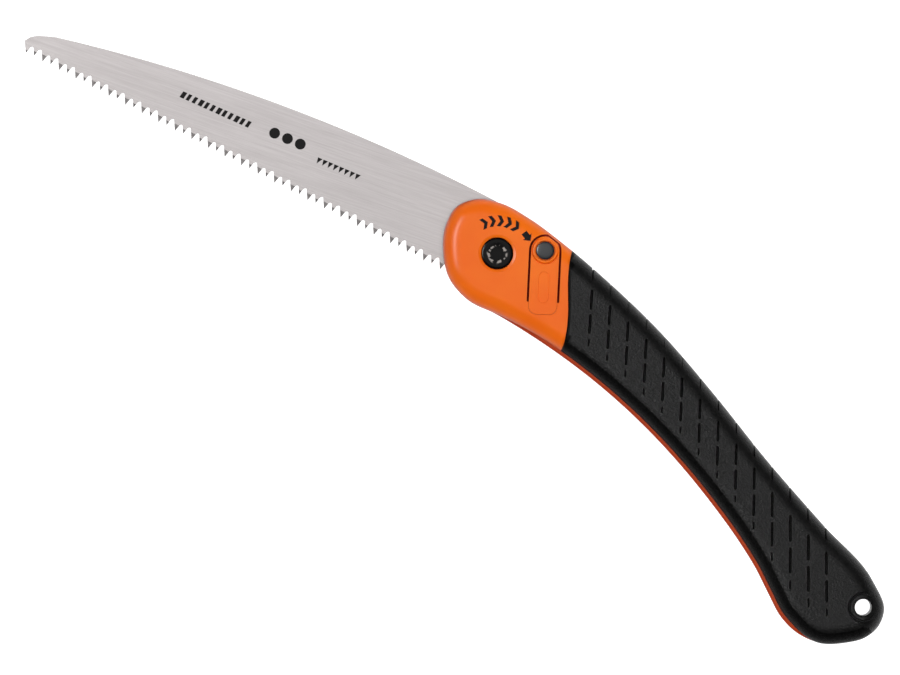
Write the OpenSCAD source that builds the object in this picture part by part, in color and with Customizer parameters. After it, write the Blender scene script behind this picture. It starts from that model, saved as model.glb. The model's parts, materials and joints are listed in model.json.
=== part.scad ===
// Folding pruning saw, shown open. It lies on its side: +X runs from the blade's tip to the
// butt of the handle, +Y to the spine side, and +Z along the pivot bolt.
// The plan is drawn about the pivot, and placed() moves it to the part's own origin.

/* [Blade] */
// Distance from the pivot to the tip of the first tooth, along X
blade_reach = 194.4; // [190:0.2:198]
// Thickness of the blade
blade_t = 1.2; // [0.9:0.1:1.4]
// Radius of the arc that the blade's back follows
back_r = 710; // [660:10:800]
// Slope of the tooth line
tooth_slope = 0.1295; // [0.12:0.0005:0.135]
// Number of long teeth, with one short tooth between each two
tooth_pairs = 26; // [20:1:30]

/* [Handle] */
// Thickness of the rubber grip
grip_w = 22; // [20:0.5:24]
// Thickness of the orange head
head_w = 20; // [18:0.5:21]
// Width of the slot that takes the blade
slot_w = 3; // [2.8:0.1:3.4]
// Inset from the outline to the flat side faces
edge_r = 7; // [5:0.5:8]
// Thickness of the rubber over the core
rubber_t = 2; // [1.6:0.1:2.6]
// Width of the orange lip that shows along the belly
lip_w = 1.5; // [1:0.1:2]

/* [Pivot] */
// Radius of the pivot bolt's head
bolt_head_r = 6.05; // [5.5:0.05:6.2]
// Radius of the pivot bolt's shank
bolt_r = 3; // [2.5:0.1:3.2]
// Outer radius of the sleeve that the blade turns on
sleeve_r = 4.5; // [4:0.1:5]
// Outer radius of the two friction washers
washer_r = 9; // [7:0.5:10]

/* [Lock] */
// Distance of the lock pin from the pivot
pin_arm = 18.64; // [18.6:0.01:18.7]
// Direction of the lock pin from the pivot, in degrees
pin_angle = 38.4; // [38:0.1:39]
// Angle through which the blade folds
fold_angle = 157; // [155:0.5:157]
// Direction of the lock tongue from the pin to its root
tongue_angle = -57.7; // [-59:0.1:-56]
// Distance from the pin to the tongue's hinge line
tongue_arm = 22; // [21:0.5:23]
// Half of the tongue's width
tongue_r = 5.5; // [5.2:0.1:5.8]
// Radius of the button cap
cap_r = 3.47; // [3.3:0.01:3.5]
// Radius of the pin's locking collar
collar_r = 3; // [2.9:0.05:3.05]
// Radius of the pin's neck, which clears the tang
neck_r = 1.3; // [1.1:0.05:1.35]

/* [Hang hole] */
// Radius of the hang hole
hang_r = 3.25; // [3:0.05:3.5]

/* [Hidden] */
$fn = 64;
// Overshoot of cutting tools past the face they cut
eps = 1;
// Radial gap of a push fit, and of a part that drops into its seat
tight = 0.02;
seat_gap = 0.1;
// Radial clearance of a running fit
fit = 0.06;
// Gap of the glue line between rubber and core
glue = 0.05;

// Handle outline about the pivot: head, belly, butt, then the spine back to the head
HANDLE = [
    [2, 18.3], [-9, 17.1], [-18.5, 12.8], [-23.2, 6], [-22.4, -3], [-17.6, -11.3],
    [-10.1, -18.3], [0, -21.2], [14, -19.5], [36, -18.3], [60, -19], [82, -21.6],
    [104, -26.1], [124, -31.8], [139.9, -37.3], [151.9, -42.4], [161.9, -47.8], [170.9, -52.3],
    [180, -53.8], [189.1, -51.9], [196.8, -46.3], [202.2, -39.9], [203.8, -33.8], [202.2, -27.4],
    [192, -20.4], [164, -13.7], [132, -5.8], [100, 3.6], [70, 11.2], [40, 15.9],
    [20, 17.8]];
// The belly's stretch of HANDLE, from below the pivot to the bottom of the butt
BELLY_FIRST = 7;
BELLY_LAST = 19;
// Line where the orange head ends and the rubber begins, from spine to belly
SEAM = [[20.5, 30], [23.3, 17.2], [27.8, 8.1], [35.4, -2.8], [39.4, -9.8], [41.8, -16.6], [44, -32]];
// Nose of the blade, from the first tooth to the back
NOSE = [[-197.3, -37.4], [-196.3, -35], [-194.2, -32.9], [-191, -31]];
// One pair of teeth, from the long tip towards the handle: distance along and depth
TOOTH_PAIR = [[0.2, 0], [0.45, 2.9], [1.1, 3.4], [1.65, 3.05], [3.4, 0.5], [3.6, 3.2], [4.35, 3.9],
    [4.95, 3.4]];

// Centre of the arc of the blade's back
back_c = [77, 22 - back_r];
// Long tooth nearest the handle: distance from the pivot along X, and depth of its tip
heel_x = -14.8;
heel_y = -17.87;
pair_pitch = (blade_reach + heel_x) / (tooth_pairs - 1);
// Round tang about the pivot, and where the back and the heel run into it
tang_r = 17.1;
tang_from = -132;
tang_to = 95;
notch_r = collar_r + 0.1;

slot_h = slot_w / 2;
grip_h = grip_w / 2;
head_h = head_w / 2;
core_h = grip_h - rubber_t;
// Half thickness of the lip and of the handle's straight sides, and of the core's under the rubber
lip_t = 1;
lip_h = slot_h + lip_t;
core_wall_h = lip_h + 0.5;
// How far the lip runs in under the rubber, past the core's outline, and how far its cut runs out
lip_root = 1.5;
lip_cut = 6;
// Field of the plan that is larger than the whole handle
field_lo = [-60, -80];
field_hi = [240, 60];
washer_gap = 0.05;
washer_t = slot_h - blade_t / 2 - 2 * washer_gap;

// Heights above the blade's mid-plane: bolt seat, bolt head, nut pocket and washer under the nut
seat_z = 6.2;
bolt_head_top = 9.4;
pocket_z = -4;
lock_washer_t = 1;
nut_h = 4.2;
nut_af = 10;
socket_af = 5;
socket_depth = 3;

// Lock: button at the height where the tongue lies level with the head and the blade is free
pin = pin_arm * [cos(pin_angle), sin(pin_angle)];
root = pin + tongue_arm * [cos(tongue_angle), sin(tongue_angle)];
tongue_t = 3;
tongue_top = head_h - 0.1;
tongue_mid = tongue_top - tongue_t / 2;
tongue_gap = 0.7;
tongue_room = 3.8;
cap_seat = 8.95;
cap_top = 10.85;

// Hang hole, and the wall left round it inside the slot
hang = [194.5, -30.95];
hang_boss_r = 5.7;
slot_end = 198.4;

// Inner edge of the spine web, which follows the teeth of the folded blade
web_from = 62;
web_to = 32;
web_r = 17.6;
WEB = [[20.2, 11.5], [28, 10.3], [187, -34.4]];

// Point of a Hermite curve between a and b with tangents m and n over the length d
function hermite(a, b, m, n, d, t) =
    (2 * t * t * t - 3 * t * t + 1) * a + (t * t * t - 2 * t * t + t) * d * m
    + (3 * t * t - 2 * t * t * t) * b + (t * t * t - t * t) * d * n;
function wrap(p, i) = p[(i + len(p)) % len(p)];
function slope_at(p, i) =
    let (d0 = norm(p[i] - wrap(p, i - 1)), d1 = norm(wrap(p, i + 1) - p[i]))
    ((p[i] - wrap(p, i - 1)) / d0 * d1 + (wrap(p, i + 1) - p[i]) / d1 * d0) / (d0 + d1);
// Smooth closed curve through p, with n steps to each stretch
function smooth(p, n) = [for (i = [0:len(p) - 1], k = [0:n - 1])
    let (j = (i + 1) % len(p))
    hermite(p[i], p[j], slope_at(p, i), slope_at(p, j), norm(p[j] - p[i]), k / n)];
// Unit normal that points into an anticlockwise outline
function inward(p, i) =
    let (t = wrap(p, i + 1) - wrap(p, i - 1), u = t / norm(t))
    [-u.y, u.x];
function inset(p, d) = [for (i = [0:len(p) - 1]) p[i] + d * inward(p, i)];
function arc(r, from, to, n) = [for (k = [0:n])
    let (a = from + (to - from) * k / n)
    r * [cos(a), sin(a)]];

STEPS = 3;
// Stretches of the outline over which the lip fades out at the butt
LIP_FADE = 2;
// Levels of the rounded edges, outside and on the core
EDGE_LEVELS = 5;
CORE_LEVELS = 3;
outline = smooth(HANDLE, STEPS);
belly = [for (i = [BELLY_FIRST * STEPS:BELLY_LAST * STEPS]) outline[i]];
// The lip's band runs in under the rubber, far enough to meet the core's side walls
belly_inner = [for (i = [BELLY_FIRST * STEPS:BELLY_LAST * STEPS])
    outline[i] + (lip_w + rubber_t + lip_root) * inward(outline, i)];
// Outline of the rubber: it stops short of the lip along the belly, and meets it at the butt
function lip_at(i) =
    i < BELLY_FIRST * STEPS || i > BELLY_LAST * STEPS ? 0
        : lip_w * min(1, (BELLY_LAST * STEPS - i) / (LIP_FADE * STEPS));
rubber_outline = [for (i = [0:len(outline) - 1]) outline[i] + lip_at(i) * inward(outline, i)];
core_outline = inset(rubber_outline, rubber_t);

// Overall box, from the blade's nose to the butt and from the belly to the spine
box_lo = [NOSE[0].x, min([for (p = outline) p.y])];
box_hi = [max([for (p = outline) p.x]), max([for (p = outline) p.y])];
centre = (box_lo + box_hi) / 2;

module placed() {
    translate([-centre.x, -centre.y, grip_h])
        children();
}

// Plate of a plan shape between two heights
module plate(z0, z1) {
    translate([0, 0, z0])
        linear_extrude(z1 - z0)
            children();
}

// Body of an outline with rounded edges: half thickness h, straight sides up to height s,
// then a quarter ellipse that runs in by r to the flat face, which a plate trims level
module pebble(p, h, s, r, levels) {
    over = 1.3;
    quarter = [for (k = [0:levels - 1])
        let (a = 90 * k / levels)
        [r * (1 - cos(a)), s + (h - s) * sin(a)]];
    last = quarter[levels - 1];
    half = concat(quarter, [last + over * ([r, h] - last)]);
    rings = concat(
        [for (k = [levels:-1:0]) [half[k][0], -half[k][1]]],
        half);
    n = len(p);
    points = [for (ring = rings, q = inset(p, ring[0])) [q.x, q.y, ring[1]]];
    sides = [for (k = [0:len(rings) - 2], i = [0:n - 1])
        let (j = (i + 1) % n, a = k * n, b = (k + 1) * n)
        each [[a + i, b + i, b + j], [a + i, b + j, a + j]]];
    floor_face = [for (i = [0:n - 1]) i];
    roof_face = [for (i = [n - 1:-1:0]) (len(rings) - 1) * n + i];
    intersection() {
        polyhedron(points, concat(sides, [floor_face, roof_face]), convexity = 8);
        plate(-h, h)
            translate(field_lo)
                square(field_hi - field_lo);
    }
}

// Everything on the head's side of the seam, or with the sign turned, on the grip's side
module seam_side(x, gap) {
    edge = [for (p = SEAM) [p.x + gap, p.y]];
    plate(-grip_w, grip_w)
        polygon(concat(edge, [[x, field_lo.y], [x, field_hi.y]]));
}

// The slot: open at the front, at the belly and over the tang, closed by the web and the butt
module slot() {
    plate(-slot_h, slot_h)
        polygon(concat(
            [[field_lo.x, field_hi.y], [web_r * cos(web_from), field_hi.y]],
            arc(web_r, web_from, web_to, 8),
            WEB,
            [hang - hang_boss_r * [1, 1], [slot_end, hang.y - hang_boss_r]],
            [[slot_end, field_lo.y], field_lo]));
}

// Plan of the tongue from the button to its hinge line, grown by a margin
module tongue_plan(margin) {
    translate(pin)
        circle(tongue_r + margin);
    translate(pin)
        rotate(tongue_angle)
            translate([0, -tongue_r - margin])
                square([tongue_arm, 2 * (tongue_r + margin)]);
}

// Round bar along the tongue's hinge line
module hinge_bar(r, length) {
    translate([root.x, root.y, tongue_mid])
        rotate([0, 0, tongue_angle])
            rotate([90, 0, 0])
                cylinder(h = length, r = r, center = true);
}

// Room for the tongue, a little wider round its hinge bar
module tongue_pocket() {
    room_r = tongue_t / 2 + seat_gap;
    width = 2 * (tongue_r + tongue_gap + 2 * seat_gap);
    plate(tongue_room, head_h + eps)
        tongue_plan(tongue_gap);
    hinge_bar(room_r, width);
    translate([root.x, root.y, tongue_mid])
        rotate([0, 0, tongue_angle])
            translate([-room_r, -width / 2, 0])
                cube([2 * room_r, width, head_h]);
}

module pivot_bores() {
    seat_r = bolt_head_r + 2 * seat_gap;
    chamfer = 0.7;
    cylinder(h = head_h + eps, r = bolt_r + fit);
    translate([0, 0, seat_z])
        cylinder(h = head_h, r = seat_r);
    translate([0, 0, head_h - chamfer])
        cylinder(h = chamfer + eps, r1 = seat_r, r2 = seat_r + chamfer + eps);
    translate([0, 0, pocket_z])
        cylinder(h = -pocket_z, r = bolt_r + fit);
    translate([0, 0, -head_h - eps])
        cylinder(h = head_h + eps + pocket_z, r = nut_af / sqrt(3) + seat_gap, $fn = 6);
}

module hang_bore() {
    translate([hang.x, hang.y, -grip_w])
        cylinder(h = 2 * grip_w, r = hang_r);
}

module handle_core() {
    color("darkorange")
        placed()
            difference() {
                union() {
                    intersection() {
                        pebble(outline, head_h, lip_h, edge_r, EDGE_LEVELS);
                        seam_side(field_lo.x, 0);
                    }
                    intersection() {
                        pebble(core_outline, core_h, core_wall_h, edge_r - rubber_t, CORE_LEVELS);
                        seam_side(field_hi.x, -eps);
                    }
                    plate(-lip_h, lip_h)
                        polygon(concat(belly, [for (i = [len(belly) - 1:-1:0]) belly_inner[i]]));
                }
                slot();
                pivot_bores();
                tongue_pocket();
                translate([pin.x, pin.y, -head_h - eps])
                    cylinder(h = head_h + eps + tongue_room, r = collar_r + fit);
                hang_bore();
            }
}

module rubber_grip() {
    color([0.13, 0.13, 0.14])
        placed()
            difference() {
                intersection() {
                    pebble(rubber_outline, grip_h, lip_h, edge_r, EDGE_LEVELS);
                    seam_side(field_hi.x, glue);
                }
                pebble(inset(rubber_outline, rubber_t - glue), core_h + glue, core_wall_h,
                    edge_r - rubber_t, CORE_LEVELS);
                plate(-lip_h - glue, lip_h + glue)
                    polygon(concat(
                        [for (p = belly) p - [0, lip_cut]],
                        [belly[len(belly) - 1] + [glue, -lip_cut]],
                        [for (i = [len(belly) - 1:-1:0]) belly_inner[i] + glue * [1, 1]]));
                hang_bore();
            }
}

function tooth_y(x) = heel_y + tooth_slope * (x - heel_x);
teeth = [for (k = [tooth_pairs - 1:-1:0], q = TOOTH_PAIR)
    let (x = heel_x - pair_pitch * k + q[0])
    if (k > 0 || q[0] < 0.5)
        [x, tooth_y(x) + q[1]]];
back = [for (x = [-188:8:-7]) [x, back_c.y + sqrt(back_r * back_r - pow(x - back_c.x, 2))]];

// Round notch in the tang for the lock pin, at an angle about the pivot
module notch(angle) {
    translate(pin_arm * [cos(angle), sin(angle)])
        circle(notch_r);
}

module blade_plan() {
    difference() {
        polygon(concat(
            NOSE,
            back,
            arc(tang_r, tang_to, tang_from, 48),
            [for (i = [len(teeth) - 1:-1:0]) teeth[i]]));
        circle(sleeve_r + fit);
        notch(pin_angle);
        notch(pin_angle - fold_angle);
    }
}

module saw_blade() {
    color([0.8, 0.79, 0.79])
        placed()
            plate(-blade_t / 2, blade_t / 2)
                blade_plan();
}

module pivot_bolt() {
    color([0.06, 0.06, 0.07])
        placed()
            difference() {
                union() {
                    translate([0, 0, seat_z])
                        cylinder(h = bolt_head_top - seat_z, r = bolt_head_r);
                    translate([0, 0, pocket_z - lock_washer_t - nut_h])
                        cylinder(h = seat_z - pocket_z + lock_washer_t + nut_h, r = bolt_r);
                }
                translate([0, 0, bolt_head_top - socket_depth])
                    cylinder(h = socket_depth + eps, r = socket_af / sqrt(3), $fn = 6);
            }
}

// Flat ring between two heights
module ring(z0, z1, r_in, r_out) {
    difference() {
        translate([0, 0, z0])
            cylinder(h = z1 - z0, r = r_out);
        translate([0, 0, z0 - eps])
            cylinder(h = z1 - z0 + 2 * eps, r = r_in);
    }
}

module pivot_sleeve() {
    color("silver")
        placed()
            ring(-slot_h + tight, slot_h - tight, bolt_r + fit, sleeve_r);
}

module front_friction_washer() {
    color("goldenrod")
        placed()
            ring(slot_h - washer_gap - washer_t, slot_h - washer_gap, sleeve_r + fit, washer_r);
}

module rear_friction_washer() {
    color("goldenrod")
        placed()
            ring(-slot_h + washer_gap, -slot_h + washer_gap + washer_t, sleeve_r + fit, washer_r);
}

module lock_washer() {
    color("silver")
        placed()
            ring(pocket_z - lock_washer_t, pocket_z, bolt_r + fit, nut_af / 2 - seat_gap);
}

module pivot_nut() {
    color("silver")
        placed()
            difference() {
                translate([0, 0, pocket_z - lock_washer_t - nut_h])
                    cylinder(h = nut_h, r = nut_af / sqrt(3), $fn = 6);
                translate([0, 0, pocket_z - lock_washer_t - nut_h - eps])
                    cylinder(h = nut_h + 2 * eps, r = bolt_r + tight);
            }
}

module lock_tongue() {
    stem_hole_r = 2.6;
    sink = 0.35;
    sink_r = cap_r + 0.4;
    color("darkorange")
        placed()
            difference() {
                union() {
                    plate(tongue_top - tongue_t, tongue_top)
                        tongue_plan(0);
                    hinge_bar(tongue_t / 2, 2 * tongue_r);
                }
                translate([pin.x, pin.y, tongue_room])
                    cylinder(h = head_h, r = stem_hole_r);
                translate([pin.x, pin.y, cap_seat - sink])
                    cylinder(h = head_h, r = sink_r);
            }
}

// The pin from bottom to top: locking collar, neck, guide, stem and spigot
PIN_STEPS = [[-4.6, collar_r], [-1, neck_r], [1.3, collar_r], [6.5, 2.2], [cap_seat, 1.8], [9.95, 0]];

module lock_pin() {
    color("dimgray")
        placed()
            translate(pin)
                rotate_extrude()
                    polygon(concat(
                        [[0, PIN_STEPS[0][0]]],
                        [for (k = [0:len(PIN_STEPS) - 2]) each [
                            [PIN_STEPS[k][1], PIN_STEPS[k][0]],
                            [PIN_STEPS[k][1], PIN_STEPS[k + 1][0]]]],
                        [[0, PIN_STEPS[len(PIN_STEPS) - 1][0]]]));
}

module button_cap() {
    dome_r = 6.6;
    hole_depth = 1.05;
    hole_r = 1.82;
    color([0.22, 0.23, 0.25])
        placed()
            translate(pin)
                difference() {
                    intersection() {
                        translate([0, 0, cap_seat])
                            cylinder(h = cap_top - cap_seat, r = cap_r);
                        translate([0, 0, cap_top - dome_r])
                            sphere(dome_r);
                    }
                    translate([0, 0, cap_seat - eps])
                        cylinder(h = eps + hole_depth, r = hole_r);
                }
}

handle_core();
rubber_grip();
saw_blade();
pivot_bolt();
pivot_sleeve();
pivot_nut();
lock_washer();
front_friction_washer();
rear_friction_washer();
lock_tongue();
lock_pin();
button_cap();
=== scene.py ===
"""Looks of the folding pruning saw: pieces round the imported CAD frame, materials, light and camera."""

import json
import math
from math import cos, pi, radians, sin, sqrt

import bmesh
import bpy
from mathutils import Matrix, Vector


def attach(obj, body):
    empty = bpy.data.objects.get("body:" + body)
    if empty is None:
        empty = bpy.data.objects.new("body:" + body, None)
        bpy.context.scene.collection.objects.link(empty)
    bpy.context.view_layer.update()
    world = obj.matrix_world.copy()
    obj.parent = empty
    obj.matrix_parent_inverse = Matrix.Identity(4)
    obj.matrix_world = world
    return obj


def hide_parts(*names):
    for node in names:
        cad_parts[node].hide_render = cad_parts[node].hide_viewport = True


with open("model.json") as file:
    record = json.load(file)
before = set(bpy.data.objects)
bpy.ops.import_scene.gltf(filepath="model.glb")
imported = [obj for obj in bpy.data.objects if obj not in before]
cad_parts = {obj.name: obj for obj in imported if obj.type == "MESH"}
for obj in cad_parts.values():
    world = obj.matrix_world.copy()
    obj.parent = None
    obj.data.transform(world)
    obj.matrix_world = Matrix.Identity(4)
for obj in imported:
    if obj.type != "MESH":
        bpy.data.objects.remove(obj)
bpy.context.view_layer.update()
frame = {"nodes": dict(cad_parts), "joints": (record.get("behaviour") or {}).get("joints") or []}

# ---------------------------------------------------------------- frame of the drawing
# Plans are drawn in millimetres about the pivot, with z from the blade's mid-plane.
MM = 0.001
joints = {j["name"]: j for j in frame["joints"]}
PIVOT = Vector(joints["blade_fold"]["pos_m"])


def row(x, y, z=0.0):
    """Point of the row frame, in metres, for a point drawn in millimetres about the pivot."""
    return PIVOT + Vector((x, y, z)) * MM


# ---------------------------------------------------------------- camera
VIEW_TURN = radians(35)
FRAME_WIDTH = 0.3488
CAMERA_HEIGHT = 5.0
SENSOR = 36.0
AIM = (3.7, -37.1)

camera_data = bpy.data.cameras.new("camera")
camera_data.type = "PERSP"
camera_data.sensor_width = SENSOR
camera_data.lens = SENSOR * CAMERA_HEIGHT / FRAME_WIDTH
camera_data.clip_end = 20
camera = bpy.data.objects.new("camera", camera_data)
bpy.context.scene.collection.objects.link(camera)
camera.matrix_world = Matrix.Translation(row(*AIM) + Vector((0, 0, CAMERA_HEIGHT))) @ Matrix.Rotation(
    VIEW_TURN, 4, "Z")
bpy.context.scene.camera = camera
bpy.context.scene.view_settings.view_transform = "Standard"
bpy.context.scene.view_settings.look = "None"

# ---------------------------------------------------------------- dimensions
SLOT_H = 1.5
LIP_H = 3.0
CORE_WALL_H = 3.6
CORE_EDGE_R = 4.5
CORE_LEVELS = 6
WALL_H = 2.5
HEAD_H = 10.0
GRIP_H = 11.0
EDGE_R = 7.0
RUBBER = 2.0
LIP_W = 1.5
GLUE = 0.05
BLADE_H = 0.6
CLEAR = 12
SEAM_OVERLAP = 1.0

HANDLE = [
    (2, 18.3), (-9, 17.1), (-18.5, 12.8), (-23.2, 6), (-22.4, -3), (-17.6, -11.3),
    (-10.1, -18.3), (0, -21.2), (14, -19.5), (36, -18.3), (60, -19), (82, -21.6),
    (104, -26.1), (124, -31.8), (139.9, -37.3), (151.9, -42.4), (161.9, -47.8), (170.9, -52.3),
    (180, -53.8), (189.1, -51.9), (196.8, -46.3), (202.2, -39.9), (203.8, -33.8), (202.2, -27.4),
    (192, -20.4), (164, -13.7), (132, -5.8), (100, 3.6), (70, 11.2), (40, 15.9),
    (20, 17.8)]
SEAM = [(20.5, 30), (23.3, 17.2), (27.8, 8.1), (35.4, -2.8), (39.4, -9.8), (41.8, -16.6), (44, -32)]
LIP_FROM = 7.36
LIP_TO = 19
LIP_FADE_IN, LIP_FADE_OUT = 1.8, 1.6
LIP_SUNK = 0.12
STEPS = 8
SEAM_STEPS = 6
SEAM_ROUND = 1.0

PIN_ARM = 18.64
PIN_ANGLE = 38.4
FOLD = 157
PIN = Vector((PIN_ARM * cos(radians(PIN_ANGLE)), PIN_ARM * sin(radians(PIN_ANGLE))))
TONGUE_DIR = Vector((cos(radians(-57.7)), sin(radians(-57.7))))
TONGUE_SIDE = Vector((-TONGUE_DIR.y, TONGUE_DIR.x))
TONGUE_R = 5.5
TONGUE_TOP = 9.96
HANG = Vector((194.5, -30.95))
HANG_R = 3.25
HANG_TUBE_R = 4.4
BORE_R = 3.06
NUT_ACROSS = 10
SOCKET_ACROSS = 5


# ---------------------------------------------------------------- curves
def smooth_loop(points, steps):
    """Smooth closed curve through points, with steps to each stretch."""
    p = [Vector(q) for q in points]
    n = len(p)

    def slope(i):
        d0, d1 = (p[i] - p[i - 1]).length, (p[(i + 1) % n] - p[i]).length
        return ((p[i] - p[i - 1]) / d0 * d1 + (p[(i + 1) % n] - p[i]) / d1 * d0) / (d0 + d1)

    out = []
    for i in range(n):
        a, b, d = p[i], p[(i + 1) % n], (p[(i + 1) % n] - p[i]).length
        for k in range(steps):
            t = k / steps
            out.append((2 * t**3 - 3 * t * t + 1) * a + (t**3 - 2 * t * t + t) * d * slope(i)
                       + (3 * t * t - 2 * t**3) * b + (t**3 - t * t) * d * slope((i + 1) % n))
    return out


def smooth_line(points, steps):
    """Smooth open curve through points."""
    p = [Vector(q) for q in points]
    out = []
    for i in range(len(p) - 1):
        before = p[i - 1] if i else 2 * p[0] - p[1]
        after = p[i + 2] if i + 2 < len(p) else 2 * p[-1] - p[-2]
        for k in range(steps):
            t = k / steps
            out.append(0.5 * (2 * p[i] + (p[i + 1] - before) * t
                              + (2 * before - 5 * p[i] + 4 * p[i + 1] - after) * t * t
                              + (3 * p[i] - before - 3 * p[i + 1] + after) * t**3))
    return out + [p[-1]]


def inward(loop):
    """Inward unit normal at each point of a closed loop."""
    n = len(loop)
    out = []
    for i in range(n):
        t = (loop[(i + 1) % n] - loop[i - 1]).normalized()
        out.append(Vector((-t.y, t.x)))
    return out


def inset(loop, d):
    """Closed loop moved inward by d, one number or one for each point."""
    ds = d if hasattr(d, "__len__") else [d] * len(loop)
    return [p + n * k for p, n, k in zip(loop, inward(loop), ds)]


def ease(t):
    """Smooth step from 0 to 1."""
    t = min(1.0, max(0.0, t))
    return t * t * (3 - 2 * t)


OUTLINE = smooth_loop(HANDLE, STEPS)


def lip_at(i):
    """Width of the lip at a point of the outline: it fades in below the pivot and out under the butt."""
    s = i / STEPS
    return LIP_W * ease((s - LIP_FROM) / LIP_FADE_IN) * ease((LIP_TO - s) / LIP_FADE_OUT)


LIP = [lip_at(i) for i in range(len(OUTLINE))]
BODY = inset(OUTLINE, LIP)


def edge_distance(p, loop):
    """Distance from p to a loop, and the loop's inward normal at the nearest place."""
    best = None
    for i in range(len(loop)):
        a, b = loop[i - 1], loop[i]
        e = b - a
        t = min(1.0, max(0.0, (p - a).dot(e) / e.length_squared))
        d = p - (a + e * t)
        if best is None or d.length_squared < best[0]:
            best = (d.length_squared, Vector((-e.y, e.x)).normalized())
    return sqrt(best[0]), best[1]


# ---------------------------------------------------------------- mesh helpers, all in millimetres
WELD, MERGE, DEGENERATE = 1e-5, 2e-4, 1e-4
ON_AXIS = 1e-6
ROUND = 64


def solid(verts, faces):
    """Temporary object of a closed mesh, with its faces turned outward."""
    mesh = bpy.data.meshes.new("solid")
    mesh.from_pydata([tuple(v) for v in verts], [], faces)
    bm = bmesh.new()
    bm.from_mesh(mesh)
    bmesh.ops.remove_doubles(bm, verts=bm.verts, dist=WELD)
    bmesh.ops.recalc_face_normals(bm, faces=bm.faces)
    bm.to_mesh(mesh)
    bm.free()
    o = bpy.data.objects.new("solid", mesh)
    bpy.context.scene.collection.objects.link(o)
    return o


def loft(rings, closed=False):
    """Solid through rings with the same number of points; closed joins the last ring to the first."""
    n, m = len(rings[0]), len(rings)
    verts = [p for ring in rings for p in ring]
    faces = []
    for k in range(m if closed else m - 1):
        a, b = k * n, (k + 1) % m * n
        faces += [(a + i, a + (i + 1) % n, b + (i + 1) % n, b + i) for i in range(n)]
    if not closed:
        faces += [tuple(range(n))[::-1], tuple(range((m - 1) * n, m * n))]
    return solid(verts, faces)


def at_height(plan, z):
    return [(p[0], p[1], z) for p in plan]


def prism(plan, z0, z1):
    return loft([at_height(plan, z0), at_height(plan, z1)])


def circle(r, centre=(0, 0), n=ROUND, start=0.0):
    return [(centre[0] + r * cos(start + 2 * pi * k / n), centre[1] + r * sin(start + 2 * pi * k / n))
            for k in range(n)]


def arc(r, a0, a1, n):
    """Points of an arc about the pivot, angles in degrees."""
    angles = [radians(a0 + (a1 - a0) * k / n) for k in range(n + 1)]
    return [(r * cos(a), r * sin(a)) for a in angles]


def revolve(profile, centre=(0, 0), n=ROUND):
    """Solid of revolution about Z of an open profile of (r, z) from axis to axis."""
    verts, faces, rows = [], [], []
    for r, z in profile:
        if r < ON_AXIS:
            rows.append([len(verts)])
            verts.append((centre[0], centre[1], z))
        else:
            rows.append(list(range(len(verts), len(verts) + n)))
            verts += at_height(circle(r, centre, n), z)
    for a, b in zip(rows, rows[1:]):
        for i in range(n):
            j = (i + 1) % n
            if len(a) == 1:
                faces.append((a[0], b[i], b[j]))
            elif len(b) == 1:
                faces.append((a[i], a[j], b[0]))
            else:
                faces.append((a[i], a[j], b[j], b[i]))
    return solid(verts, faces)


def collar(profile, centre=(0, 0), n=ROUND):
    """Ring of a closed profile of (r, z)."""
    rings = []
    for k in range(n):
        a = 2 * pi * k / n
        rings.append([(centre[0] + r * cos(a), centre[1] + r * sin(a), z) for r, z in profile])
    return loft(rings, closed=True)


def combine(target, others, operation="DIFFERENCE"):
    """One boolean of a temporary solid with another, or with several at once; those are used up."""
    others = others if isinstance(others, list) else [others]
    mod = target.modifiers.new("cut", "BOOLEAN")
    mod.operation = operation
    mod.solver = "EXACT"
    group = None
    if len(others) == 1:
        mod.object = others[0]
    else:
        group = bpy.data.collections.new("others")
        for o in others:
            group.objects.link(o)
        mod.operand_type = "COLLECTION"
        mod.collection = group
    deps = bpy.context.evaluated_depsgraph_get()
    mesh = bpy.data.meshes.new_from_object(target.evaluated_get(deps))
    if not mesh.polygons:
        raise ValueError("a boolean left nothing of the solid")
    target.modifiers.clear()
    old = target.data
    target.data = mesh
    bpy.data.meshes.remove(old)
    for o in others:
        discard(o)
    if group:
        bpy.data.collections.remove(group)
    return target


def discard(o):
    mesh = o.data
    bpy.data.objects.remove(o)
    bpy.data.meshes.remove(mesh)


def gathered(objects):
    """One temporary object of several that don't touch."""
    bm = bmesh.new()
    for o in objects:
        bm.from_mesh(o.data)
    mesh = bpy.data.meshes.new("gathered")
    bm.to_mesh(mesh)
    bm.free()
    for o in objects:
        discard(o)
    o = bpy.data.objects.new("gathered", mesh)
    bpy.context.scene.collection.objects.link(o)
    return o


def finished(o, name, material, body, nodes=(), sharp=32):
    """The piece itself: in metres, smooth up to the sharp angle, and tied to the frame."""
    o.name = name
    o.data.name = name
    bm = bmesh.new()
    bm.from_mesh(o.data)
    bmesh.ops.remove_doubles(bm, verts=bm.verts, dist=MERGE)
    bmesh.ops.dissolve_degenerate(bm, edges=bm.edges, dist=DEGENERATE)
    bm.transform(Matrix.Translation(PIVOT) @ Matrix.Scale(MM, 4))
    for f in bm.faces:
        f.smooth = True
    for e in bm.edges:
        e.smooth = len(e.link_faces) == 2 and e.calc_face_angle(0) < radians(sharp)
    bm.to_mesh(o.data)
    bm.free()
    o.data.materials.clear()
    o.data.materials.append(material)
    weighted = o.modifiers.new("weighted", "WEIGHTED_NORMAL")
    weighted.keep_sharp = True
    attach(o, body)
    if nodes:
        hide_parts(*nodes)
    return o


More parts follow.
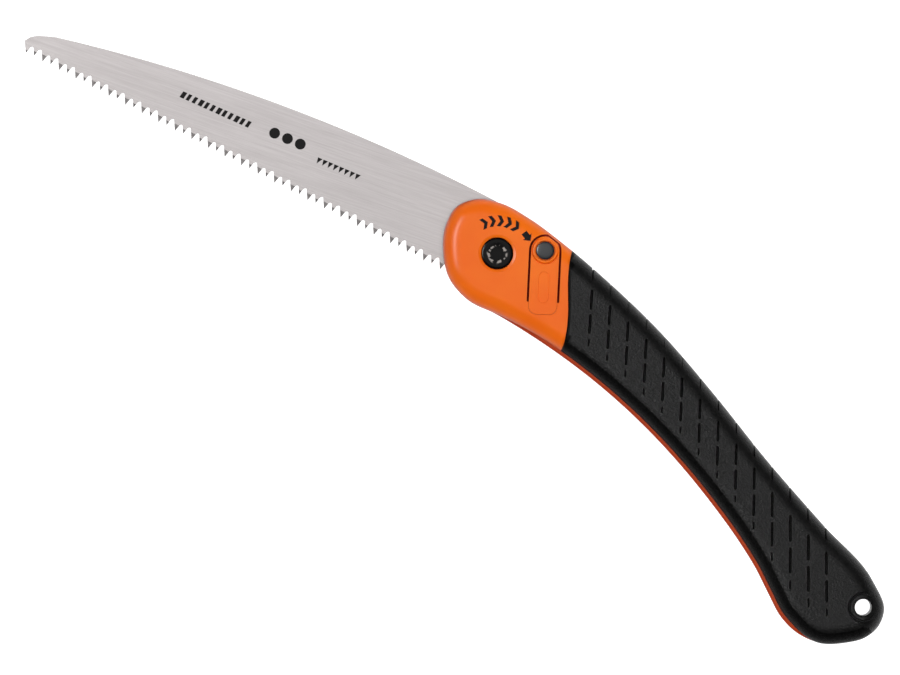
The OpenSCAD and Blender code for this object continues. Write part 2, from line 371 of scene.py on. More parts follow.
# ---------------------------------------------------------------- materials
class Nodes:
    """A material's node tree, with short calls to add and join nodes."""

    def __init__(self, name):
        self.material = bpy.data.materials.new(name)
        self.material.use_nodes = True
        self.tree = self.material.node_tree
        self.shader = self.tree.nodes["Principled BSDF"]

    def node(self, kind, values=(), inputs=()):
        n = self.tree.nodes.new(kind)
        for key, value in dict(values).items():
            setattr(n, key, value)
        for key, value in dict(inputs).items():
            if isinstance(value, bpy.types.NodeSocket):
                self.tree.links.new(value, n.inputs[key])
            else:
                n.inputs[key].default_value = value
        return n

    def shade(self, **inputs):
        for key, value in inputs.items():
            key = key.replace("_", " ")
            if isinstance(value, bpy.types.NodeSocket):
                self.tree.links.new(value, self.shader.inputs[key])
            else:
                self.shader.inputs[key].default_value = value

    def place(self, stretch=(1, 1, 1), turn=0.0):
        """Object coordinates in millimetres, turned about Z and then stretched."""
        coords = self.node("ShaderNodeTexCoord").outputs["Object"]
        if turn:
            coords = self.node("ShaderNodeMapping", inputs={
                "Vector": coords, "Rotation": (0, 0, turn)}).outputs["Vector"]
        return self.node("ShaderNodeMapping", inputs={
            "Vector": coords, "Scale": tuple(1000 * s for s in stretch)}).outputs["Vector"]

    def noise(self, where, scale, detail=2.0, rough=0.5):
        return self.node("ShaderNodeTexNoise", inputs={
            "Vector": where, "Scale": scale, "Detail": detail, "Roughness": rough}).outputs["Fac"]

    def ramp(self, fac, stops):
        n = self.node("ShaderNodeValToRGB", inputs={"Fac": fac})
        ramp = n.color_ramp
        while len(ramp.elements) < len(stops):
            ramp.elements.new(0.5)
        for e, (at, colour) in zip(ramp.elements, stops):
            e.position = at
            e.color = (*colour, 1) if hasattr(colour, "__len__") else (colour, colour, colour, 1)
        return n.outputs["Color"]

    def mapped(self, fac, low, high):
        return self.node("ShaderNodeMapRange", inputs={
            "Value": fac, "To Min": low, "To Max": high}).outputs["Result"]

    def bump(self, height, strength, distance):
        return self.node("ShaderNodeBump", inputs={
            "Height": height, "Strength": strength, "Distance": distance}).outputs["Normal"]

    def math(self, operation, *values):
        return self.node("ShaderNodeMath", {"operation": operation}, dict(enumerate(values))).outputs[0]

    def within(self, value, start, end):
        """0 at start, 1 at end."""
        return self.node("ShaderNodeMapRange", inputs={
            "Value": value, "From Min": start, "From Max": end}).outputs["Result"]


def orange_nylon():
    m = Nodes("orange_nylon")
    where = m.place()
    flow = m.noise(where, 0.03, 3)
    fine = m.noise(where, 2.2, 3)
    # painted shade: the colour darkens to a dark red towards the mid-plane, over the side walls and the
    # lip
    height = m.node("ShaderNodeSeparateXYZ", inputs={"Vector": where}).outputs["Z"]
    from_mid = m.math("ABSOLUTE", m.math("SUBTRACT", height, PIVOT.z / MM))
    away = m.within(from_mid, 2.7, 6.8)
    tone = m.ramp(flow, [(0.3, (0.83, 0.122, 0.005)), (0.7, (0.88, 0.165, 0.007))])
    colour = m.node("ShaderNodeMix", {"data_type": "RGBA"}, {
        0: away, 6: (0.42, 0.044, 0.010, 1), 7: tone}).outputs[2]
    m.shade(Base_Color=colour,
            Roughness=m.mapped(fine, 0.30, 0.40),
            Normal=m.bump(fine, 0.10, 0.00004))
    m.shade(Specular_IOR_Level=0.08, Subsurface_Weight=0.05, Subsurface_Radius=(1.0, 0.25, 0.05),
            Subsurface_Scale=0.0015)
    return m.material


def black_rubber(name, specular):
    m = Nodes(name)
    where = m.place()
    grain = m.noise(where, 1.1, 5, 0.7)
    blotch = m.noise(where, 0.25, 2)
    m.shade(Base_Color=m.ramp(grain, [(0.35, 0.0008), (0.75, 0.006)]),
            Roughness=m.mapped(blotch, 0.27, 0.36),
            Normal=m.bump(grain, 0.8, 0.0004))
    m.shade(Specular_IOR_Level=specular)
    return m.material


def blade_steel():
    m = Nodes("blade_steel")
    turn = radians(-16)
    scratch = m.noise(m.place((0.02, 0.8, 1), turn), 2.2, 6, 0.7)
    broad = m.noise(m.place((0.25, 1.0, 1), turn), 0.05, 2)
    both = m.math("MULTIPLY_ADD", broad, 0.4, scratch)
    m.shade(Base_Color=m.ramp(both, [(0.55, (0.182, 0.169, 0.168)), (0.85, (0.222, 0.208, 0.2065))]),
            Roughness=m.mapped(scratch, 0.32, 0.5),
            Normal=m.bump(scratch, 0.25, 0.00004))
    m.shade(Metallic=0.6)
    return m.material


def plain_metal(name, colour, rough):
    m = Nodes(name)
    fine = m.noise(m.place(), 1.5, 4)
    dark = tuple(c * 0.8 for c in colour)
    m.shade(Base_Color=m.ramp(fine, [(0.3, dark), (0.75, colour)]),
            Roughness=m.mapped(fine, rough - 0.06, rough + 0.1),
            Normal=m.bump(fine, 0.15, 0.00003))
    m.shade(Metallic=1.0)
    return m.material


def plastic(name, colour, rough, spec):
    m = Nodes(name)
    fine = m.noise(m.place(), 1.8, 3)
    m.shade(Base_Color=m.ramp(fine, [(0.3, tuple(c * 0.85 for c in colour)), (0.7, colour)]),
            Roughness=m.mapped(fine, rough - 0.05, rough + 0.06),
            Normal=m.bump(fine, 0.15, 0.00004))
    m.shade(Specular_IOR_Level=spec)
    return m.material


def oxide_steel():
    """Black oxide, with painted glints: light spots in a ring round the socket."""
    m = Nodes("black_steel")
    where = m.place()
    fine = m.noise(where, 1.8, 3)
    flat = m.node("ShaderNodeVectorMath", {"operation": "MULTIPLY"}, {
        0: where, 1: (1, 1, 0)}).outputs["Vector"]
    reach = m.node("ShaderNodeVectorMath", {"operation": "DISTANCE"},
                   {0: flat, 1: (PIVOT.x / MM, PIVOT.y / MM, 0)}).outputs["Value"]
    # painted glints: a ring round the bolt's axis, broken into spots by noise, gets a light colour
    band = m.ramp(m.within(reach, 0, 6), [(0.40, 0.0), (0.50, 1.0), (0.60, 1.0), (0.70, 0.0)])
    spots = m.ramp(m.noise(where, 0.75, 2), [(0.52, 0.0), (0.60, 1.0)])
    painted_glint = m.math("MULTIPLY", band, spots)
    m.shade(Base_Color=m.ramp(painted_glint, [(0.0, (0.0022, 0.002, 0.002)), (1.0, (0.34, 0.31, 0.29))]),
            Roughness=m.mapped(fine, 0.2, 0.3),
            Normal=m.bump(fine, 0.15, 0.00004))
    m.shade(Specular_IOR_Level=0.04)
    return m.material


ORANGE = orange_nylon()
RUBBER_MAT = black_rubber("black_rubber", 0.095)
# a copy of the rubber with almost no reflection, put on as painted shade along the belly and the seam
RUBBER_PAINTED_SHADE = black_rubber("black_rubber_painted_shade", 0.015)
STEEL = blade_steel()
# painted shade: dark red for the faces down in the slot round the tongue
SLOT_PAINTED_SHADE = plastic("orange_painted_shade", (0.20, 0.010, 0.005), 0.5, 0.03)
BLACK_STEEL = oxide_steel()
ZINC = plain_metal("zinc_steel", (0.55, 0.56, 0.58), 0.35)
BRONZE = plain_metal("bronze", (0.55, 0.33, 0.13), 0.4)
CAP_PLASTIC = plastic("grey_plastic", (0.012, 0.014, 0.017), 0.35, 0.22)
INK = plastic("ink", (0.005, 0.0045, 0.0045), 0.6, 0.06)


# ---------------------------------------------------------------- handle
def quarter(h, s, r, levels):
    """(inset, height) along a rounded edge, from the straight wall to the flat face."""
    return [(r * (1 - cos(pi / 2 * k / levels)), s + (h - s) * sin(pi / 2 * k / levels))
            for k in range(levels + 1)]


def pebble(h, s, r, levels=12, start=0.0):
    """Body of the handle's outline with rounded edges and flat faces, moved inward by start."""
    half = quarter(h, s, r, levels) + [(r + 0.5, h)]
    rings = [at_height(inset(BODY, start + d), -z) for d, z in reversed(half)]
    rings += [at_height(inset(BODY, start + d), z) for d, z in half]
    return loft(rings)


SEAM_LINE = smooth_line(SEAM, SEAM_STEPS)


def seam_prism(grip_side, height, gap=0.0, round_r=0.0):
    """Everything on one side of the seam, with the seam's edge rounded towards the flat face."""
    normals = []
    for i, p in enumerate(SEAM_LINE):
        t = (SEAM_LINE[min(i + 1, len(SEAM_LINE) - 1)] - SEAM_LINE[max(i - 1, 0)]).normalized()
        normals.append(Vector((-t.y, t.x)))
    far = [(240, -90), (240, 50)] if grip_side else [(-70, -90), (-70, 50)]

    def plan(d):
        return [p + n * d for p, n in zip(SEAM_LINE, normals)] + [Vector(q) for q in far]

    if not round_r:
        return prism(plan(gap), -height, height)
    levels = [(gap + round_r * (1 - cos(a)), height - round_r + round_r * sin(a))
              for a in [pi / 2 * k / 6 for k in range(7)]]
    levels.append((gap + round_r + 0.3, height + 1))
    rings = [at_height(plan(d), -z) for d, z in reversed(levels)]
    return loft(rings + [at_height(plan(d), z) for d, z in levels])


def slot_prism():
    """Slot for the blade, from the head's web to the butt."""
    web = arc(17.6, 62, 32, 12)
    plan = [(-60, 60), (web[0][0], 60)] + web + [(20.2, 11.5), (28, 10.3), (187, -34.4)]
    plan += [(188.8, -36.65), (198.4, -36.65), (198.4, -80), (-60, -80)]
    return prism(plan, -SLOT_H, SLOT_H)


def lip_band(section, outer=False):
    """Band along the belly with a section of (distance inward, height)."""
    first, last = math.ceil(LIP_FROM * STEPS), LIP_TO * STEPS
    normals = inward(OUTLINE)
    rings = []
    for i in range(first, last + 1):
        sunk = 0.0 if outer else LIP_SUNK * (1 - LIP[i] / LIP_W)
        rings.append([(*(OUTLINE[i] + normals[i] * (d + sunk)), z) for d, z in section])
    return loft(rings)


LIP_TOP = [(0.0, 1.2), (0.06, 2.05), (0.3, 2.55), (0.75, 2.9), (1.2, LIP_H), (1.7, LIP_H), (5.0, LIP_H)]


def along_tongue(u, v):
    """Point of the plan at u from the pin towards the tongue's root, and v to its side."""
    return PIN + TONGUE_DIR * u + TONGUE_SIDE * v


def pill(u0, u1, half, n=16):
    """Plan of a slot with round ends along the tongue."""
    out = []
    for k in range(n + 1):
        a = pi / 2 + pi * k / n
        out.append(along_tongue(u0 + half + half * cos(a), half * sin(a)))
    for k in range(n + 1):
        a = -pi / 2 + pi * k / n
        out.append(along_tongue(u1 - half + half * cos(a), half * sin(a)))
    return out


ROOT_END = 24.7
SLOT_LENGTH = 20.0
TONGUE_GAP = 0.8
TONGUE_SUNK = 0.25
POCKET_Z = 6.3
PILL = (5.8, 23.6, 4.3)
PILL_DEPTH = 0.18
ROOT_CORNER = 3.0
CREASE_W, CREASE_END = 0.025, 0.08
SLOT_BEVEL = 0.25


def root_corners(end, half):
    """Two rounded corners at the tongue's root."""
    r = ROOT_CORNER
    out = []
    for s, a0 in ((-1, -pi / 2), (1, 0)):
        for a in [a0 + pi / 2 * k / 8 for k in range(9)]:
            out.append(along_tongue(end - r + r * cos(a), s * (half - r) + r * sin(a)))
    return out


def button_end(r, n):
    """Half circle round the button, away from the root."""
    return [along_tongue(r * cos(a), r * sin(a)) for a in [pi / 2 + pi * k / n for k in range(n + 1)]]


def tongue_outline():
    """Tongue with a round end at the button and a softer round end at its root."""
    return button_end(TONGUE_R, 24) + root_corners(ROOT_END, TONGUE_R)


def pill_recess(u0, u1, half, depth, slope=0.5):
    """Cutter of a shallow recess with sloping sides."""
    return loft([at_height(pill(u0 + slope, u1 - slope, half - slope), TONGUE_TOP - depth),
                 at_height(pill(u0, u1, half), TONGUE_TOP + 0.1),
                 at_height(pill(u0, u1, half), TONGUE_TOP + 1)])


def handle_core():
    core = combine(pebble(HEAD_H, WALL_H, EDGE_R), seam_prism(False, CLEAR), "INTERSECT")
    inner = combine(pebble(GRIP_H - RUBBER, CORE_WALL_H, CORE_EDGE_R, CORE_LEVELS, RUBBER),
                    seam_prism(True, CLEAR, -SEAM_OVERLAP), "INTERSECT")
    section = [(d, -z) for d, z in reversed(LIP_TOP)] + LIP_TOP
    core = combine(core, [inner, lip_band(section)], "UNION")
    core = combine(core, [
        slot_prism(),
        # pivot: seat of the bolt's head with its chamfered rim, shank, and pocket of the nut
        revolve([(0, 5.9), (6.25, 5.9), (6.25, 9.5), (6.4, 9.62), (7.25, 9.98), (7.6, 10.3),
                 (7.6, CLEAR), (0, CLEAR)]),
        revolve([(0, -6), (BORE_R, -6), (BORE_R, 7), (0, 7)]),
        prism(circle(NUT_ACROSS / sqrt(3) + 0.1, n=6), -CLEAR, -4),
        # lock: room for the tongue, and bore of the pin
        prism(pocket_plan(), POCKET_Z, CLEAR),
        revolve([(0, -CLEAR), (BORE_R, -CLEAR), (BORE_R, 8), (0, 8)], PIN),
        pill_recess(*PILL, PILL_DEPTH),
        prism(circle(HANG_TUBE_R + GLUE, HANG), -13, 13)])
    shell = finished(core, "handle_core_shell", ORANGE, "handle", ["handle_core"])
    return shade_slot(shell)


def shade_slot(o):
    """Painted shade: a dark red material on the faces down in the slot round the tongue."""
    o.data.materials.append(SLOT_PAINTED_SHADE)
    for face in o.data.polygons:
        at = (o.matrix_world @ face.center - PIVOT) / MM
        u = (at.xy - PIN).dot(TONGUE_DIR)
        v = (at.xy - PIN).dot(TONGUE_SIDE)
        reach = abs(v) if u > 0 else Vector((u, v)).length
        in_gap = TONGUE_R - 0.1 < reach < TONGUE_R + TONGUE_GAP + 0.1
        wall = abs(face.normal.z) < 0.1 and POCKET_Z < at.z < TONGUE_TOP
        bottom = abs(at.z - POCKET_Z) < 0.1
        if u < ROOT_END and (in_gap and wall or bottom and reach < TONGUE_R + TONGUE_GAP):
            face.material_index = 1
    return o


def pocket_plan():
    """Slot round the tongue, which narrows to a crease round the root."""
    wide, thin = TONGUE_R + TONGUE_GAP, TONGUE_R + CREASE_W
    end = [(SLOT_LENGTH - SLOT_BEVEL, wide), (SLOT_LENGTH, wide - SLOT_BEVEL), (SLOT_LENGTH, thin)]
    out = button_end(wide, 32) + [along_tongue(u, -v) for u, v in end]
    out += root_corners(ROOT_END + CREASE_END, thin)
    return out + [along_tongue(u, v) for u, v in reversed(end)]


def tongue():
    levels = [(6.9, 0.0), (9.82, 0.0), (TONGUE_TOP, 0.06)]
    body = loft([at_height(inset(tongue_outline(), d), z) for z, d in levels])
    # its end follows the rounded edge of the head
    body = combine(body, pebble(HEAD_H + 0.3, WALL_H, EDGE_R, start=TONGUE_SUNK), "INTERSECT")
    ring = [(3.87, 9.3), (3.87, 10.25), (4.05, 10.4), (4.5, 10.43), (4.8, 10.28), (4.98, 10.0), (5.0, 9.5)]
    body = combine(body, collar(ring, PIN), "UNION")
    foot = [(4.92, 11), (4.92, 9.9), (5.1, 9.5), (5.28, 9.9), (5.28, 11)]
    body = combine(body, [
        collar(foot, PIN),
        revolve([(0, 8.6), (3.87, 8.6), (3.87, CLEAR), (0, CLEAR)], PIN),
        revolve([(0, 5), (2.6, 5), (2.6, 8.9), (0, 8.9)], PIN),
        pill_recess(*PILL, PILL_DEPTH),
        pill_recess(8.0, 20.5, 2.2, 0.42, 0.3)])
    return shade_slot(finished(body, "lock_tongue_shell", ORANGE, "tongue", ["lock_tongue"]))


# ---------------------------------------------------------------- grip
RIGHT = Vector((cos(VIEW_TURN), sin(VIEW_TURN)))
DOWN = Vector((sin(VIEW_TURN), -cos(VIEW_TURN)))
COLUMNS = 14
COLUMN_FIRST = 36.0
COLUMN_PITCH = 7.03
LEAN_FIRST, LEAN_LAST = 3.6, -0.5
DASHES = [(0.205, 0.405, 1.0), (0.447, 0.64, 1.0), (0.69, 0.76, 0.65)]
TICK = 0.11
DASH_W = 0.52
DASH_DEPTH = 1.5
GROOVE_FOOT = 0.15
GROOVE_OUT = 0.6
GROOVE_END = 0.12
GROOVE_STEP = 0.5
SHADE_BELLY_REACH = 4.4
SHADE_SEAM_REACH = 1.3
SHADE_BELLY_TO = 21


def line_distance(p, line):
    """Distance from p to an open line."""
    best = 1e9
    for a, b in zip(line, line[1:]):
        e = b - a
        t = min(1.0, max(0.0, (p - a).dot(e) / e.length_squared))
        best = min(best, (p - (a + e * t)).length)
    return best


def surface(p, side):
    """Point and outward normal of the grip's face over a plan point."""
    d, n = edge_distance(p, BODY)
    if d >= EDGE_R:
        return Vector((p.x, p.y, side * GRIP_H)), Vector((0, 0, side))
    a = math.acos(1 - d / EDGE_R)
    z = WALL_H + (GRIP_H - WALL_H) * sin(a)
    slope = Vector((EDGE_R * sin(a), (GRIP_H - WALL_H) * cos(a))).normalized()
    return Vector((p.x, p.y, side * z)), Vector((-n.x * slope.y, -n.y * slope.y, side * slope.x))


def chord(start, direction):
    """Where a line crosses the grip's outline: the first and the last crossing."""
    hits = []
    for i in range(len(BODY)):
        a, b = BODY[i - 1], BODY[i]
        e = b - a
        det = direction.x * -e.y + direction.y * e.x
        if abs(det) < 1e-9:
            continue
        w = a - start
        t = (w.x * -e.y + w.y * e.x) / det
        s = (direction.x * w.y - direction.y * w.x) / det
        if 0 <= s < 1:
            hits.append(t)
    return min(hits), max(hits)


def groove(points, across, width=1.0):
    """Cutter of a V-shaped groove with tapered ends, along (surface point, normal) pairs."""
    rings = []
    n = len(points)
    for k, (p, normal) in enumerate(points):
        reach = min(k, n - 1 - k) * (points[1][0] - points[0][0]).length
        w = DASH_W * width * sqrt(max(GROOVE_END, 1 - max(0, 1 - reach / DASH_W) ** 2))
        side = Vector((across.x, across.y, 0)) * w
        deep, out = p - normal * DASH_DEPTH, p + normal * GROOVE_OUT
        foot = side * GROOVE_FOOT
        rings.append([deep - foot, deep + foot, p + side, out + side, out - side, p - side])
    return loft(rings)


def groove_cutters():
    cutters = []
    for k in range(COLUMNS):
        lean = radians(LEAN_FIRST + (LEAN_LAST - LEAN_FIRST) * k / (COLUMNS - 1))
        down = (DOWN * cos(lean) - RIGHT * sin(lean)).normalized()
        across = Vector((-down.y, down.x))
        centre = RIGHT * (COLUMN_FIRST + COLUMN_PITCH * k)
        # the column's middle lies on the grip's axis, halfway between spine and belly
        t0, t1 = chord(centre, DOWN)
        middle = centre + DOWN * (t0 + t1) / 2
        t0, t1 = chord(middle, down)
        span = t1 - t0
        for side in (1, -1):
            for a, b, width in DASHES:
                count = max(4, round((b - a) * span / GROOVE_STEP))
                shares = [a + (b - a) * i / count for i in range(count + 1)]
                spots = [surface(middle + down * (t0 + span * share), side) for share in shares]
                cutters.append(groove(spots, across, width))
        # the tick wraps the spine edge from one face to the other
        rim = middle + down * t0
        reach = [0.03, 0.15, 0.4, 0.8, 1.3, 2.0, 2.8, 3.6, 4.3, TICK * span]
        over = [surface(rim + down * r, 1) for r in reversed(reach)]
        under = [surface(rim + down * r, -1) for r in reach]
        cutters.append(groove(over + under, across))
    return gathered(cutters)


def rubber_grip():
    grip = combine(pebble(GRIP_H, WALL_H, EDGE_R), seam_prism(True, GRIP_H, GLUE, SEAM_ROUND), "INTERSECT")
    cut = LIP_H + GLUE
    r, top = HANG_R, GRIP_H
    flare = [(r + 0.5, top + 1), (r + 0.5, top + 0.02), (r, top - 0.5)]
    ring = [(4.85, top + 1), (4.85, top - 0.1), (5.2, top - 1.1), (5.55, top - 1.1), (5.95, top - 0.1),
            (5.95, top + 1)]
    grip = combine(grip, [
        combine(pebble(GRIP_H - RUBBER + GLUE, CORE_WALL_H, CORE_EDGE_R, CORE_LEVELS, RUBBER - GLUE),
                prism(circle(HANG_TUBE_R, HANG), -CLEAR, CLEAR)),
        lip_band([(-4, -cut), (5, -cut), (5, cut), (-4, cut)], outer=True),
        revolve([(0, -top - 1)] + [(a, -z) for a, z in flare] + flare[::-1] + [(0, top + 1)], HANG),
        collar(ring, HANG),
        collar([(a, -z) for a, z in ring], HANG),
        groove_cutters()])
    shell = finished(grip, "rubber_grip_shell", RUBBER_MAT, "handle", ["rubber_grip"])
    return paint_shade_on_belly(shell)


def paint_shade_on_belly(o):
    """Painted shade: a copy of the rubber with almost no reflection on the faces along the belly and at
    the seam.
    """
    belly = BODY[math.ceil(LIP_FROM * STEPS):SHADE_BELLY_TO * STEPS:4]
    o.data.materials.append(RUBBER_PAINTED_SHADE)
    for face in o.data.polygons:
        at = (o.matrix_world @ face.center - PIVOT) / MM
        if line_distance(at.xy, belly) < SHADE_BELLY_REACH or line_distance(at.xy, SEAM_LINE) < SHADE_SEAM_REACH:
            face.material_index = 1
    return o


# ---------------------------------------------------------------- blade
REACH = 194.4
HEEL = (-14.8, -17.87)
TOOTH_SLOPE = 0.1295
PAIRS = 26
PITCH = (REACH + HEEL[0]) / (PAIRS - 1)
NOSE = [(-197.3, -37.4), (-196.3, -35), (-194.2, -32.9), (-191, -31)]
BACK_R = 710
BACK_C = (77, 22 - BACK_R)
TANG_R = 17.1
LONG_BEVEL, SHORT_BEVEL, NOSE_BEVEL = 2.6, 1.7, 1.2
LONG_TIP_Z, SHORT_TIP_Z = -0.42, -0.3
TANG_HOLE_R, NOTCH_R = 4.56, 3.1


def blade():
    """Blade with ground facets at every tooth: the tips lie behind the flat face."""
    stations = [(x, y, None) for x, y in NOSE]
    stations += [(x, BACK_C[1] + sqrt(BACK_R**2 - (x - BACK_C[0])**2), None) for x in range(-188, -6, 4)]
    stations += [(x, y, None) for x, y in arc(TANG_R, 95, -132, 48)]

    def tooth(x0, tip, rise_left, rise_right, bevel, depth):
        """Tip with the two corners of its facets, from the handle's side to the nose's side."""
        def on(x, y):
            return (x0 + x, HEEL[1] + TOOTH_SLOPE * (x0 + x - HEEL[0]) + y)
        left = bevel / rise_left[1]
        right = bevel / rise_right[1]
        return [(*on(tip[0] + rise_right[0] * right, tip[1] + rise_right[1] * right), None),
                (*on(*tip), depth),
                (*on(tip[0] + rise_left[0] * left, tip[1] + rise_left[1] * left), None)]

    def valley(x0, points):
        """Points of a gullet on the slope of the tooth line."""
        return [(x0 + x, HEEL[1] + TOOTH_SLOPE * (x0 + x - HEEL[0]) + y, None) for x, y in points]

    for k in range(PAIRS):
        x0 = HEEL[0] - PITCH * k
        if k:
            # from the handle's side: gullet, short tooth, gullet, then the long tooth
            stations += valley(x0, [(4.95, 3.4), (4.65, 3.82), (4.35, 3.9), (3.9, 3.65), (3.6, 3.2)])
            stations += tooth(x0, (3.4, 0.5), (-1.75, 2.55), (0.2, 2.7), SHORT_BEVEL, SHORT_TIP_Z)
            stations += valley(x0, [(1.65, 3.05), (1.42, 3.32), (1.1, 3.4), (0.7, 3.25), (0.45, 2.9)])
        bevel = LONG_BEVEL if k < PAIRS - 1 else NOSE_BEVEL
        stations += tooth(x0, (0.2, 0), (-2.43, 3.4), (0.25, 2.9), bevel, LONG_TIP_Z)
    verts, faces, rows = [], [], []
    for x, y, depth in stations:
        if depth is None:
            rows.append((len(verts), len(verts) + 1))
            verts += [(x, y, BLADE_H), (x, y, -BLADE_H)]
        else:
            rows.append((len(verts),))
            verts.append((x, y, depth))
    n = len(rows)
    for i in range(n):
        a, b, c = rows[i], rows[(i + 1) % n], rows[(i + 2) % n]
        if len(a) == 2 and len(b) == 2:
            faces.append((a[0], b[0], b[1], a[1]))
        elif len(b) == 1:
            faces += [(a[0], b[0], a[1]), (b[0], c[0], c[1]), (a[0], c[0], b[0]), (a[1], b[0], c[1])]
    faces.append(tuple(r[0] for r in rows if len(r) == 2))
    faces.append(tuple(r[1] for r in reversed(rows) if len(r) == 2))
    plate = solid(verts, faces)
    holes = [revolve([(0, -2), (TANG_HOLE_R, -2), (TANG_HOLE_R, 2), (0, 2)])]
    for angle in (PIN_ANGLE, PIN_ANGLE - FOLD):
        at = (PIN_ARM * cos(radians(angle)), PIN_ARM * sin(radians(angle)))
        holes.append(revolve([(0, -2), (NOTCH_R, -2), (NOTCH_R, 2), (0, 2)], at))
    plate = combine(plate, holes)
    return finished(plate, "saw_blade_ground", STEEL, "blade", ["saw_blade"], sharp=12)


# ---------------------------------------------------------------- pivot and lock parts
def bolt():
    head = revolve([(0, -9.2), (2.6, -9.2), (3.0, -8.8), (3.0, 6.2), (5.7, 6.2), (6.05, 6.5), (6.05, 8.7),
                    (5.85, 9.15), (5.4, 9.38), (4.9, 9.4), (4.2, 9.4), (3.0, 9.0), (0, 8.9)])
    socket = circle(SOCKET_ACROSS / sqrt(3), n=6, start=radians(12))
    head = combine(head, prism(socket, 6.4, CLEAR))
    return finished(head, "pivot_bolt_head", BLACK_STEEL, "handle", ["pivot_bolt"])


def nut():
    body = revolve([(0, -9.2), (4.9, -9.2), (6.0, -8.6), (6.0, -5), (0, -5)])
    body = combine(body, prism(circle(NUT_ACROSS / sqrt(3), n=6), -10, -4), "INTERSECT")
    hole = [(0, -CLEAR), (3.6, -CLEAR), (3.6, -9.2), (3.02, -8.7), (3.02, -4), (0, -4)]
    body = combine(body, revolve(hole))
    return finished(body, "pivot_nut_turned", ZINC, "handle", ["pivot_nut"])


def cap():
    dome = [(3.47 * sin(a), 10.25 + 0.6 * cos(a)) for a in [pi / 2 * k / 10 for k in range(11)]]
    profile = dome + [(3.47, 9.2), (3.3, 8.95), (1.82, 8.95), (1.82, 10.0), (0, 10.0)]
    return finished(revolve(profile, PIN), "button_cap_dome", CAP_PLASTIC, "button",
                    ["button_cap"], sharp=40)


def pin():
    profile = [(0, -4.6), (2.6, -4.6), (3.0, -4.2), (3.0, -1.2), (2.8, -1.0), (1.3, -1.0), (1.3, 1.3),
               (2.8, 1.3), (3.0, 1.5), (3.0, 6.3), (2.8, 6.5), (2.2, 6.5), (2.2, 8.9), (1.8, 8.9),
               (1.8, 9.95), (0, 9.95)]
    return finished(revolve(profile, PIN), "lock_pin_turned", ZINC, "button", ["lock_pin"])


# ---------------------------------------------------------------- printed marks, generic
PRINT_T = 0.03
PRINT_SUNK = 0.01
CHEVRONS = 5
CHEVRON_R, CHEVRON_FIRST, CHEVRON_STEP = 12.6, 148, 14.5
ARROW_ANGLE, ARROW_SHIFT, ARROW_TURN = 69, (1.3, 0.2), -18


def mark(plan, z):
    """Thin printed shape on a face at height z."""
    return prism(plan, z - PRINT_SUNK, z + PRINT_T)


def head_print():
    """Chevrons on an arc that lead to a solid arrow at the button."""
    r = CHEVRON_R
    marks = []
    for k in range(CHEVRONS):
        a = radians(CHEVRON_FIRST - CHEVRON_STEP * k)
        centre = Vector((r * cos(a), r * sin(a)))
        along, out = Vector((sin(a), -cos(a))), Vector((cos(a), sin(a)))
        plan = [(-1.35, 2.1), (0.1, 2.1), (1.4, 0), (0.1, -2.1), (-1.35, -2.1), (-0.05, 0)]
        marks.append(mark([centre + along * x + out * y for x, y in plan], HEAD_H))
    a = radians(ARROW_ANGLE)
    centre = Vector((r * cos(a), r * sin(a))) + Vector(ARROW_SHIFT)
    along = Vector((cos(radians(ARROW_TURN)), sin(radians(ARROW_TURN))))
    out = Vector((-along.y, along.x))
    plan = [(-2.0, 1.2), (0.0, 1.2), (0.0, 2.1), (2.1, 0), (0.0, -2.1), (0.0, -1.2), (-2.0, -1.2)]
    marks.append(mark([centre + along * x + out * y for x, y in plan], HEAD_H))
    return finished(gathered(marks), "head_arrow_print", INK, "handle")


def blade_print():
    """Three groups of plain marks along the blade."""
    marks = []

    def local(origin, angle):
        x = Vector((cos(radians(angle)), sin(radians(angle))))
        y = Vector((-x.y, x.x))
        return lambda px, py: Vector(origin) + x * px + y * py

    # a row of slanted bars
    to = local((-135.9, -19.6), 10.8)
    for k in range(12):
        x = 2.52 * k
        w = 1.35 if k % 3 else 1.7
        marks.append(mark([to(x, -1.3), to(x + w, -1.3), to(x + w + 0.5, 1.3), to(x + 0.5, 1.3)], BLADE_H))
    # three plain discs
    to = local((-92.1, -10.1), 12)
    for k in (-1, 0, 1):
        marks.append(mark([to(5.4 * k + x, y) for x, y in circle(2.1, n=32)], BLADE_H))
    # a short row of triangles
    to = local((-78.0, -10.3), 12)
    for k in range(8):
        x = 2.3 * k
        marks.append(mark([to(x, 1.1), to(x + 0.4, -1.3), to(x + 1.9, 1.1)], BLADE_H))
    return finished(gathered(marks), "blade_mark_print", INK, "blade")


# ---------------------------------------------------------------- build
handle_core()
tongue()
rubber_grip()
blade()
bolt()
nut()
cap()
pin()
head_print()
blade_print()
for node, material in (("pivot_sleeve", ZINC), ("lock_washer", ZINC), ("front_friction_washer", BRONZE),
                       ("rear_friction_washer", BRONZE)):
    mesh = frame["nodes"][node].data
    mesh.materials.clear()
    mesh.materials.append(material)

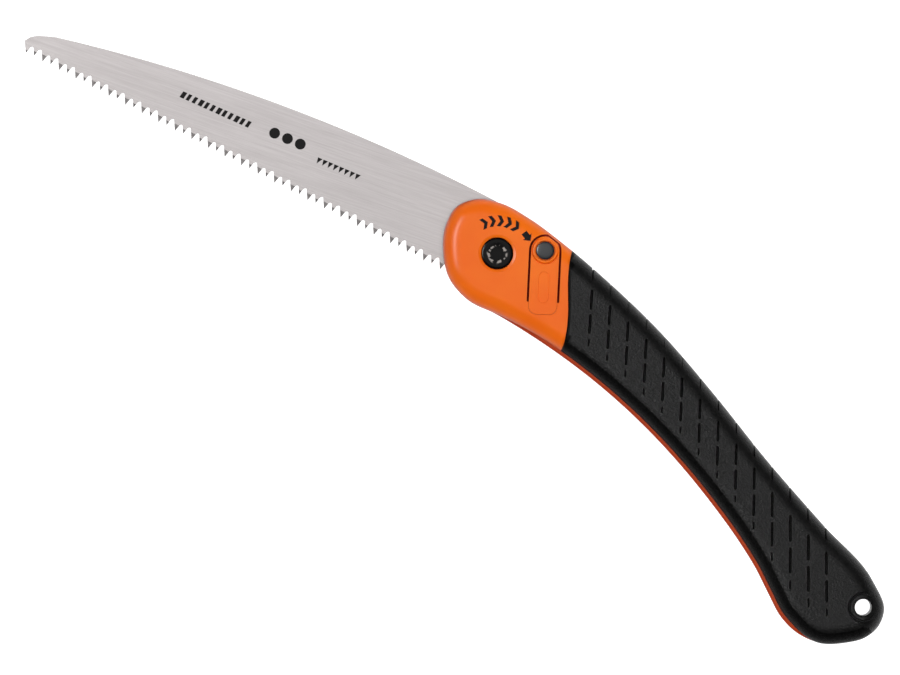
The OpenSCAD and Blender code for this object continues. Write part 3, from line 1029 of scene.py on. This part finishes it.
# ---------------------------------------------------------------- floor and light
FLOOR_HALF = 3.0
FLOOR_Z = -0.0004
corners = [(x * FLOOR_HALF, y * FLOOR_HALF, FLOOR_Z) for x, y in ((-1, -1), (1, -1), (1, 1), (-1, 1))]
floor_mesh = bpy.data.meshes.new("floor")
floor_mesh.from_pydata(corners, [], [(0, 1, 2, 3)])
floor = bpy.data.objects.new("floor", floor_mesh)
bpy.context.scene.collection.objects.link(floor)
pale = Nodes("pale_floor")
pale.shade(Base_Color=(0.4, 0.4, 0.4, 1), Roughness=0.9, Specular_IOR_Level=0.0,
           Emission_Color=(1, 1, 1, 1), Emission_Strength=1.1)
floor_mesh.materials.append(pale.material)

world = bpy.data.worlds.new("studio")
bpy.context.scene.world = world
world.use_nodes = True
tree = world.node_tree
coords = tree.nodes.new("ShaderNodeTexCoord")
split = tree.nodes.new("ShaderNodeSeparateXYZ")
ramp = tree.nodes.new("ShaderNodeValToRGB")
tree.links.new(coords.outputs["Generated"], split.inputs["Vector"])
tree.links.new(split.outputs["Z"], ramp.inputs["Fac"])
tree.links.new(ramp.outputs["Color"], tree.nodes["Background"].inputs["Color"])
stops = [(0.0, 0.03), (0.5, 0.035), (0.85, 0.2)]
while len(ramp.color_ramp.elements) < len(stops):
    ramp.color_ramp.elements.new(0.5)
for element, (at, value) in zip(ramp.color_ramp.elements, stops):
    element.position = at
    element.color = (value, value, value, 1)


def area_light(name, direction, distance, size, power, target=(40, -15)):
    """Soft rectangular light that looks at the saw from a direction of the row frame."""
    data = bpy.data.lights.new(name, "AREA")
    data.shape = "RECTANGLE"
    data.size, data.size_y = size
    data.energy = power
    light = bpy.data.objects.new(name, data)
    bpy.context.scene.collection.objects.link(light)
    d = Vector(direction).normalized()
    light.visible_camera = False
    light.matrix_world = (Matrix.Translation(row(*target) + d * distance)
                          @ d.to_track_quat("Z", "Y").to_matrix().to_4x4())
    return light


UP = -DOWN
shift = UP * 0.12
area_light("overhead", (shift.x, shift.y, 1), distance=2.0, size=(2.0, 2.0), power=45)
left = (-RIGHT * 0.72 + UP * 0.15)
strip = area_light("left_strip", (left.x, left.y, 0.75), distance=1.6, size=(0.8, 0.25), power=70,
                   target=(0, 0))
# the strip is seen in reflections only
strip.visible_diffuse = False
